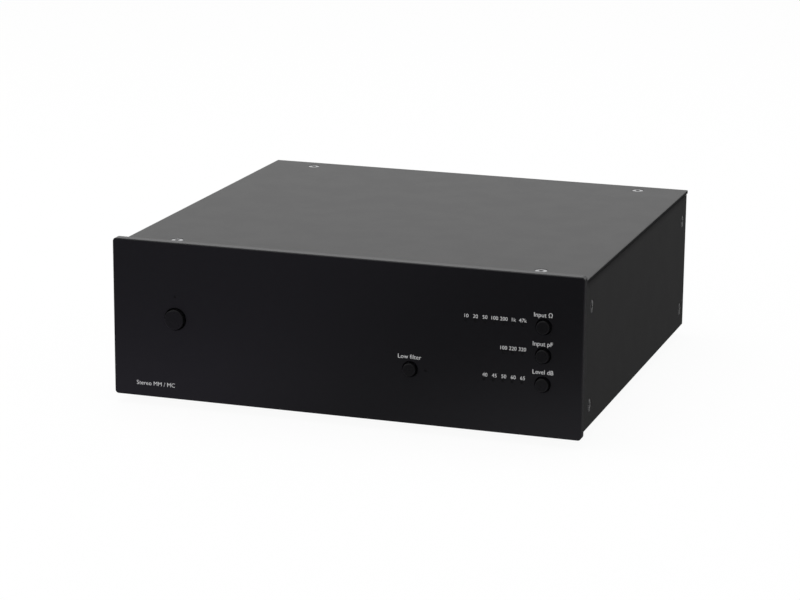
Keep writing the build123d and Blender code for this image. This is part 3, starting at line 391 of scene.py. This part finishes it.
def buildStreaks():  # rolled or brushed lines along X
    group, start, end = newGroup("streaks", {"Lines per metre": 3000.0}, ["Height"])
    squeeze = group.nodes.new("ShaderNodeMapping")
    squeeze.inputs["Scale"].default_value = streakForm["squeeze"]
    group.links.new(objectPlace(group), squeeze.inputs["Vector"])
    perMetre = start.outputs["Lines per metre"]
    lines = noise(group, perMetre, streakForm["detail"], squeeze.outputs["Vector"])
    group.links.new(lines, end.inputs["Height"])
    return group


shared = {
    "grain": buildGrain(),
    "clouds": buildClouds(),
    "edges": buildEdges(),
    "specks": buildSpecks(),
    "streaks": buildStreaks(),
}
print("shared effects ready")


def useGroup(tree, key, values):
    place = tree.nodes.new("ShaderNodeGroup")
    place.node_tree = shared[key]
    for label, value in values.items():
        place.inputs[label].default_value = value
    return place.outputs[0]


# Finishes: what a look doesn't name is taken from here
plain = {
    "metallic": 0.0,
    "specular": 0.5,
    "upright": None,  # specular of upright faces, where it differs: painted shade that makes the sides and edges darker than the top
    "uprightBelow": 0.5,  # a face is upright where its normal rises or falls by less than this
    "lip": None,  # node whose upper edge gets a painted shadow of the cover
    "lipDepth": 3.4,  # mm
    "lipShade": 0.42,  # share of the specular that is left at the edge, in the painted shadow
    "roughness": (0.4, 0.5),  # smoothest and roughest patches
    "clouds": 25.0,  # per metre
    "grain": 4000.0,  # per metre
    "grainDepth": 0.02,  # mm
    "wear": None,  # colour of worn edges
    "wearWidth": 0.25,  # mm
    "dust": 0.0,
    "dustColour": (0.35, 0.34, 0.32),
    "streaks": None,  # lines per metre
    "streakGrain": 0.3,  # share of the grain that is left between the lines
    "coat": 0.0,
    "coatRoughness": 0.12,
    "pattern": None,  # function that gives the two colours instead
}


def paintedShadeSpecular(tree, look):
    # painted shade: upright faces get their own lower specular, so they render darker than the top
    split = tree.nodes.new("ShaderNodeSeparateXYZ")
    tree.links.new(tree.nodes.new("ShaderNodeNewGeometry").outputs["True Normal"], split.inputs[0])
    normalRise = sums(tree, "ABSOLUTE", split.outputs["Z"], 0.0)
    upright = sums(tree, "LESS_THAN", normalRise, look["uprightBelow"])
    level = spread(tree, upright, 0.0, 1.0, look["specular"], look["upright"])
    # painted shadow: the specular fades towards the upper edge, below the cover's overhang
    if look["lip"]:
        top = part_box(look["lip"])[1].z
        share = spread(tree, axisValue(tree, "Z"), top - look["lipDepth"] * mm, top, 1.0, look["lipShade"])
        level = sums(tree, "MULTIPLY", level, share)
    return level


def finish(name, look):
    look = {**plain, **look}
    material, tree = newMaterial(name)
    shader = tree.nodes["Principled BSDF"]
    shader.inputs["Metallic"].default_value = look["metallic"]
    shader.inputs["Specular IOR Level"].default_value = look["specular"]
    if look["upright"] is not None:
        tree.links.new(paintedShadeSpecular(tree, look), shader.inputs["Specular IOR Level"])
    if look["coat"]:
        shader.inputs["Coat Weight"].default_value = look["coat"]
        shader.inputs["Coat Roughness"].default_value = look["coatRoughness"]
    clouds = useGroup(tree, "clouds", {"Clouds per metre": look["clouds"]})
    if look["pattern"]:
        colour = mixColour(tree, clouds, *look["pattern"](tree, look))
    else:
        colour = mixColour(tree, clouds, look["colour"], look["shade"])
    if look["dust"]:
        settled = sums(tree, "MULTIPLY", useGroup(tree, "specks", {}), look["dust"])
        colour = mixColour(tree, settled, colour, look["dustColour"])
    if look["wear"]:
        edge = useGroup(tree, "edges", {"Width": look["wearWidth"] * mm})
        colour = mixColour(tree, edge, colour, look["wear"])
    tree.links.new(colour, shader.inputs["Base Color"])
    tree.links.new(spread(tree, clouds, 0.0, 1.0, *look["roughness"]), shader.inputs["Roughness"])
    height = useGroup(tree, "grain", {"Grains per metre": look["grain"]})
    if look["streaks"]:
        lines = useGroup(tree, "streaks", {"Lines per metre": look["streaks"]})
        height = sums(tree, "ADD", sums(tree, "MULTIPLY", height, look["streakGrain"]), lines)
    bump = tree.nodes.new("ShaderNodeBump")
    bump.inputs["Strength"].default_value = 1.0
    bump.inputs["Distance"].default_value = look["grainDepth"] * mm
    tree.links.new(height, bump.inputs["Height"])
    tree.links.new(bump.outputs["Normal"], shader.inputs["Normal"])
    return material


def repeated(tree, value, pitch, start=0.0):  # how far along the current repeat, from 0 to 1
    return sums(tree, "FRACT", sums(tree, "DIVIDE", sums(tree, "SUBTRACT", value, start), pitch), 0.0)


def boardPattern(tree, look):  # copper tracks under the lacquer
    across, along, up = (axisValue(tree, axis) for axis in "XYZ")
    pitch = look["trackPitch"] * mm
    bends = sums(tree, "MULTIPLY", noise(tree, look["bends"], detail=1.0), look["bendReach"] * mm)
    steps = sums(tree, "SNAP", bends, pitch)
    trackX = repeated(tree, sums(tree, "ADD", across, steps), pitch)
    trackY = repeated(tree, sums(tree, "ADD", sums(tree, "ADD", along, up), steps), pitch)
    tracks = [sums(tree, "LESS_THAN", track, look["trackShare"]) for track in (trackX, trackY)]
    areas = sums(tree, "GREATER_THAN", noise(tree, look["areas"], detail=0.0), look["areaEdge"])
    copper = sums(tree, "MULTIPLY", sums(tree, "MAXIMUM", *tracks), areas)
    return mixColour(tree, copper, look["colour"], look["track"]), look["shade"]


def ribbonPattern(tree, look):  # parallel wires, the first one marked
    across = axisValue(tree, "X")
    pitch = look["wirePitch"] * mm
    low, high = (corner.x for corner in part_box("ribbon_cable"))
    valley = sums(tree, "LESS_THAN", repeated(tree, across, pitch, low), look["valleyShare"])
    base = mixColour(tree, valley, look["colour"], look["valley"])
    marked = sums(tree, "GREATER_THAN", across, high - pitch)
    return mixColour(tree, marked, base, look["mark"]), look["shade"]


def canPattern(tree, look):  # sleeve with bare metal on top
    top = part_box("electrolytic_capacitors")[1].z
    bareAndHighlight = sums(tree, "GREATER_THAN", axisValue(tree, "Z"), top - look["rim"] * mm)
    return mixColour(tree, bareAndHighlight, look["colour"], look["bareAndHighlight"]), look["shade"]


def regulatorPattern(tree, look):  # moulded body on a plated tab
    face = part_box("voltage_regulators")[1].y
    tab = sums(tree, "GREATER_THAN", axisValue(tree, "Y"), face - look["tab"] * mm)
    return mixColour(tree, tab, look["colour"], look["bareAndHighlight"]), look["shade"]


def sideScrewHighlightPattern(tree, look):  # painted highlight on the half of each head that faces the rear
    low, high = (corner.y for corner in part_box("side_panel_screws"))
    along = axisValue(tree, "Y")
    frontRow = sums(tree, "GREATER_THAN", along, low + look["headRadius"] * mm)
    ahead = sums(tree, "LESS_THAN", along, (low + high) / 2)
    rearRow = sums(tree, "GREATER_THAN", along, high - look["headRadius"] * mm)
    # painted highlight mask: the rear half of each head
    litHalf = sums(tree, "MAXIMUM", sums(tree, "MULTIPLY", frontRow, ahead), rearRow)
    return [mixColour(tree, litHalf, look[dark], look["bareAndHighlight"]) for dark in ("colour", "shade")]


# Looks of the record's slots. Shares are of a pitch, bends and areas are per metre, lengths in mm
looks = {
    "front_panel": {
        "colour": (0.0060, 0.0059, 0.0070), "shade": (0.0057, 0.0056, 0.0067),
        "specular": 0.12, "roughness": (0.26, 0.27), "clouds": 60.0, "grain": 5200.0, "grainDepth": 0.008,
    },
    "case_plates": {
        "colour": (0.0085, 0.0085, 0.0087), "shade": (0.0081, 0.0081, 0.0083),
        # painted shade: the plates' upright faces get less specular than the top
        "specular": 0.20, "upright": 0.15, "roughness": (0.392, 0.404), "clouds": 70.0,
        "grain": 4200.0, "grainDepth": 0.012,
    },
    "frame_sheet": {
        "colour": (0.012, 0.012, 0.0125), "shade": (0.009, 0.009, 0.0095),
        "specular": 0.25, "roughness": (0.42, 0.50), "clouds": 60.0, "grain": 2600.0, "grainDepth": 0.030,
    },
    "black_screws": {
        "colour": (0.40, 0.40, 0.41), "shade": (0.28, 0.28, 0.29), "metallic": 1.0,
        "roughness": (0.16, 0.26), "clouds": 700.0, "grain": 9000.0, "grainDepth": 0.006,
        "wear": (0.55, 0.55, 0.54), "wearWidth": 0.15,
    },
    "zinc_screws": {
        "colour": (0.62, 0.62, 0.60), "shade": (0.45, 0.46, 0.47), "metallic": 1.0,
        "roughness": (0.25, 0.40), "clouds": 600.0, "grain": 9000.0, "grainDepth": 0.006,
        "wear": (0.80, 0.80, 0.78), "wearWidth": 0.15,
    },
    "foot_rubber": {
        "colour": (0.018, 0.018, 0.018), "shade": (0.028, 0.027, 0.026),
        "specular": 0.3, "roughness": (0.75, 0.92), "clouds": 120.0, "grain": 2500.0, "grainDepth": 0.05,
        "dust": 0.4,
    },
    "button_caps": {
        "colour": (0.0052, 0.0051, 0.0058), "shade": (0.0048, 0.0047, 0.0053),
        "specular": 0.09, "roughness": (0.27, 0.30), "clouds": 160.0, "grain": 6000.0, "grainDepth": 0.008,
    },
    "switch_plastic": {
        "colour": (0.020, 0.020, 0.021), "shade": (0.028, 0.028, 0.029),
        "roughness": (0.45, 0.60), "clouds": 200.0, "grain": 5000.0, "grainDepth": 0.02,
    },
    "plunger_plastic": {
        "colour": (0.62, 0.60, 0.54), "shade": (0.52, 0.50, 0.45),
        "roughness": (0.40, 0.55), "clouds": 300.0, "grain": 6000.0, "grainDepth": 0.01,
    },
    "light_pipe": {
        "colour": (0.0045, 0.0045, 0.0050), "shade": (0.0036, 0.0036, 0.0040), "specular": 0.05,
        "roughness": (0.45, 0.60), "clouds": 900.0, "grain": 7000.0, "grainDepth": 0.004,
    },
    "diode_body": {
        "colour": (0.80, 0.77, 0.60), "shade": (0.66, 0.62, 0.45),
        "roughness": (0.15, 0.30), "clouds": 900.0, "grain": 9000.0, "grainDepth": 0.004,
    },
    "board": {
        "colour": (0.012, 0.075, 0.035), "shade": (0.008, 0.055, 0.026), "track": (0.030, 0.135, 0.060),
        "trackPitch": 1.27, "trackShare": 0.3, "bends": 60.0, "bendReach": 20.0,
        "areas": 110.0, "areaEdge": 0.52,
        "roughness": (0.22, 0.34), "clouds": 40.0, "grain": 1800.0, "grainDepth": 0.02,
        "pattern": boardPattern,
    },
    "spacer_metal": {
        "colour": (0.62, 0.60, 0.52), "shade": (0.48, 0.46, 0.38), "metallic": 1.0,
        "roughness": (0.28, 0.42), "clouds": 300.0, "grain": 6000.0, "grainDepth": 0.008,
    },
    "ribbon": {
        "colour": (0.30, 0.31, 0.33), "shade": (0.24, 0.25, 0.27), "valley": (0.12, 0.12, 0.13),
        "mark": (0.42, 0.03, 0.02), "wirePitch": 1.27, "valleyShare": 0.14,
        "roughness": (0.45, 0.6), "clouds": 200.0, "grain": 3000.0, "grainDepth": 0.02,
        "pattern": ribbonPattern,
    },
    "capacitor_can": {
        "colour": (0.010, 0.012, 0.030), "shade": (0.014, 0.016, 0.036), "bareAndHighlight": (0.55, 0.55, 0.56),
        "rim": 0.5, "roughness": (0.22, 0.32), "clouds": 90.0, "grain": 3500.0, "grainDepth": 0.02,
        "coat": 0.3, "pattern": canPattern,
    },
    "film_capacitor": {
        "colour": (0.30, 0.022, 0.018), "shade": (0.22, 0.016, 0.014),
        "roughness": (0.12, 0.24), "clouds": 180.0, "grain": 2500.0, "grainDepth": 0.03, "coat": 0.4,
    },
    "chip_plastic": {
        "colour": (0.016, 0.016, 0.016), "shade": (0.024, 0.024, 0.024),
        "roughness": (0.50, 0.66), "clouds": 150.0, "grain": 5000.0, "grainDepth": 0.02,
    },
    "relay_case": {
        "colour": (0.68, 0.66, 0.60), "shade": (0.60, 0.58, 0.52),
        "roughness": (0.20, 0.34), "clouds": 100.0, "grain": 4000.0, "grainDepth": 0.01,
    },
    "sink_metal": {
        "colour": (0.020, 0.020, 0.021), "shade": (0.030, 0.030, 0.031),
        "specular": 0.4, "roughness": (0.38, 0.52), "clouds": 60.0, "grain": 3000.0, "grainDepth": 0.02,
        "wear": (0.22, 0.22, 0.22), "wearWidth": 0.2,
    },
    "crystal_can": {
        "colour": (0.70, 0.70, 0.71), "shade": (0.55, 0.55, 0.57), "metallic": 1.0,
        "roughness": (0.16, 0.28), "clouds": 250.0, "grain": 4000.0, "grainDepth": 0.01, "streaks": 2500.0,
    },
    "coil_core": {
        "colour": (0.050, 0.048, 0.046), "shade": (0.030, 0.029, 0.028),
        "roughness": (0.60, 0.80), "clouds": 300.0, "grain": 3000.0, "grainDepth": 0.05,
    },
    "socket_plastic": {
        "colour": (0.016, 0.016, 0.017), "shade": (0.024, 0.024, 0.025),
        "roughness": (0.34, 0.48), "clouds": 180.0, "grain": 5000.0, "grainDepth": 0.012,
    },
    "gold_plate": {
        "colour": (0.86, 0.60, 0.23), "shade": (0.74, 0.48, 0.17), "metallic": 1.0,
        "roughness": (0.14, 0.26), "clouds": 350.0, "grain": 7000.0, "grainDepth": 0.004,
        "wear": (0.95, 0.76, 0.42), "wearWidth": 0.15,
    },
    "left_insulator": {
        "colour": (0.80, 0.80, 0.77), "shade": (0.70, 0.70, 0.67),
        "roughness": (0.30, 0.42), "clouds": 400.0, "grain": 6000.0, "grainDepth": 0.008,
    },
    "right_insulator": {
        "colour": (0.52, 0.018, 0.020), "shade": (0.42, 0.012, 0.014),
        "roughness": (0.30, 0.42), "clouds": 400.0, "grain": 6000.0, "grainDepth": 0.008,
    },
    "nickel_plate": {
        "colour": (0.66, 0.64, 0.60), "shade": (0.52, 0.50, 0.47), "metallic": 1.0,
        "roughness": (0.20, 0.34), "clouds": 300.0, "grain": 6000.0, "grainDepth": 0.006, "streaks": 3500.0,
        "wear": (0.80, 0.79, 0.76), "wearWidth": 0.15,
    },
}
# Nodes that look a little different from the rest of their slot
ownLooks = {
    # painted shade: the cover's upright edges get almost no specular, so they render as a dark band
    "top_cover": {**looks["case_plates"], "upright": 0.03},
    # painted shadow of the cover along the side panels' upper edges
    "left_side_panel": {**looks["case_plates"], "lip": "left_side_panel"},
    "right_side_panel": {**looks["case_plates"], "lip": "right_side_panel"},
    "side_panel_screws": {
        **looks["black_screws"], "colour": (0.12, 0.12, 0.125), "shade": (0.10, 0.10, 0.105),
        # the bright colour here is a painted highlight on the heads' rear halves
        "bareAndHighlight": (0.60, 0.60, 0.60), "headRadius": 2.5, "roughness": (0.22, 0.32), "wear": None,
        "pattern": sideScrewHighlightPattern,
    },
    "voltage_regulators": {
        **looks["chip_plastic"], "bareAndHighlight": (0.60, 0.60, 0.60), "tab": 1.3, "pattern": regulatorPattern,
    },
}


def dressNodes():
    finishes = {slot: finish(slot, look) for slot, look in looks.items()}
    own = {name: finish(name, look) for name, look in ownLooks.items()}
    for part in frame["record"]["subparts"]:
        node = nodes[part["node"]]
        material = own.get(part["node"], finishes[part["material_slot"]])
        for place in node.material_slots:
            place.material = material
        if not node.material_slots:
            node.data.materials.append(material)
    return {**finishes, **own}


finishes = dressNodes()
print("finishes on:", len(finishes))


# Printing on the panels: plain numbers, units and generic words
lettering = {
    "ink": 0.02,  # thickness, mm
    "thinner": 0.02,  # taken off the strokes, mm
    "curveSteps": 4,  # straight pieces for each curved stretch of a letter's outline
    "numberSize": 2.2,  # height of the type's body, mm, as are the next two
    "wordSize": 2.6,
    "rearSize": 3.0,
    "indicatorToButton": 8.8,
    "indicatorPitch": 4.0,
    "numberRise": 1.8,  # above the indicators
    "colour": (0.80, 0.80, 0.80),
    "shade": (0.66, 0.66, 0.67),
}
steps = {
    "load_ohm_button": ["10", "20", "50", "100", "200", "1k", "47k"],
    "load_picofarad_button": ["100", "220", "320"],
    "gain_button": ["40", "45", "50", "60", "65"],
}
rowShift = {"gain_button": 0.4}  # how far right a row's numbers stand from their indicators, mm
words = {
    # button: word, and its shift and rise from the button's centre, mm
    "load_ohm_button": ("Input Ω", -0.3, 4.8),
    "load_picofarad_button": ("Input pF", -0.3, 4.8),
    "gain_button": ("Level dB", 0.0, 5.1),
    "low_cut_button": ("Low filter", -0.3, 5.2),
}
cornerWord = {"word": "Stereo MM / MC", "place": (-84.0, 9.5)}  # mm
rearWords = {
    # mount: word, and its shift and rise from the mount, mm
    "phono_in_left": (("IN 1", 0.0, 8.5), ("L", 7.6, 0.0)),
    "phono_in_right": (("R", 7.6, 0.0),),
    "line_in_left": (("IN 2", 0.0, 8.5), ("L", 7.6, 0.0)),
    "line_in_right": (("R", 7.6, 0.0),),
    "line_out_left": (("OUT", 0.0, 8.5), ("L", -7.6, 0.0)),
    "line_out_right": (("R", -7.6, 0.0),),
    "data_socket": (("DATA", 0.0, 10.0),),
    "supply_socket": (("DC", 0.0, 10.0),),
}
groundMark = {"rise": 9.0, "bars": (5.0, 3.2, 1.4), "barPitch": 0.9, "line": 0.35, "stem": 2.2}  # mm
printInk = finish("printInk", {
    "colour": lettering["colour"], "shade": lettering["shade"], "roughness": (0.5, 0.65),
    "clouds": 1500.0, "grain": 9000.0, "grainDepth": 0.005,
})


def setWord(word, size, centre, atFront=True):  # a thin solid of ink on a panel
    deselectAll()
    bpy.ops.object.text_add(location=(0, 0, 0))
    text = bpy.context.object
    text.data.body = word
    text.data.size = size * mm
    text.data.align_x = "CENTER"
    text.data.align_y = "CENTER"
    text.data.extrude = lettering["ink"] * mm / 2
    text.data.offset = -lettering["thinner"] * mm
    text.data.resolution_u = lettering["curveSteps"]
    bpy.ops.object.convert(target="MESH")
    text = bpy.context.object
    text.rotation_euler = (pi / 2, 0, 0 if atFront else pi)
    text.location = centre
    bpy.ops.object.transform_apply(location=True, rotation=True, scale=True)
    return text


def setBar(centre, width, height):  # a thin solid stroke of ink on the rear panel
    deselectAll()
    bpy.ops.mesh.primitive_cube_add(size=1, location=centre)
    bar = bpy.context.object
    bar.scale = (width * mm, lettering["ink"] * mm, height * mm)
    bpy.ops.object.transform_apply(location=True, rotation=True, scale=True)
    return bar


def joinPrint(name, pieces):
    onlySelect(pieces)
    if len(pieces) > 1:
        bpy.ops.object.join()
    piece = bpy.context.object
    piece.name = name
    piece.data.name = name
    piece.data.materials.clear()
    piece.data.materials.append(printInk)
    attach(piece, "case")


def middle(node):
    low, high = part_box(node)
    return (low + high) / 2


def printFront():
    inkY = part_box("front_panel")[0].y - lettering["ink"] * mm / 2
    for button, numbers in steps.items():
        centre = middle(button)
        nearest = centre.x - lettering["indicatorToButton"] * mm
        made = []
        for step, number in enumerate(reversed(numbers)):
            x = nearest + (rowShift.get(button, 0.0) - step * lettering["indicatorPitch"]) * mm
            place = (x, inkY, centre.z + lettering["numberRise"] * mm)
            made.append(setWord(number, lettering["numberSize"], place))
        joinPrint(button.replace("button", "numbers"), made)
    for button, (word, shift, rise) in words.items():
        centre = middle(button)
        place = (centre.x + shift * mm, inkY, centre.z + rise * mm)
        joinPrint(button.replace("button", "label"), [setWord(word, lettering["wordSize"], place)])
    x, z = cornerWord["place"]
    joinPrint("corner_label", [setWord(cornerWord["word"], lettering["wordSize"], (x * mm, inkY, z * mm))])


def printRear():
    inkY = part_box("rear_panel")[1].y + lettering["ink"] * mm / 2
    places = {mount["name"]: mount["pos_m"] for mount in frame["record"]["mounts"]}
    made = []
    for mount, marks in rearWords.items():
        for word, shift, rise in marks:
            place = (places[mount][0] + shift * mm, inkY, places[mount][2] + rise * mm)
            made.append(setWord(word, lettering["rearSize"], place, atFront=False))
    joinPrint("rear_labels", made)
    x, z = places["ground_terminal"][0], places["ground_terminal"][2] + groundMark["rise"] * mm
    bars = [setBar((x, inkY, z + groundMark["stem"] * mm / 2), groundMark["line"], groundMark["stem"])]
    for row, width in enumerate(groundMark["bars"]):
        bars.append(setBar((x, inkY, z - row * groundMark["barPitch"] * mm), width, groundMark["line"]))
    joinPrint("ground_mark", bars)


deselectAll()
printFront()
printRear()
print("printing done")
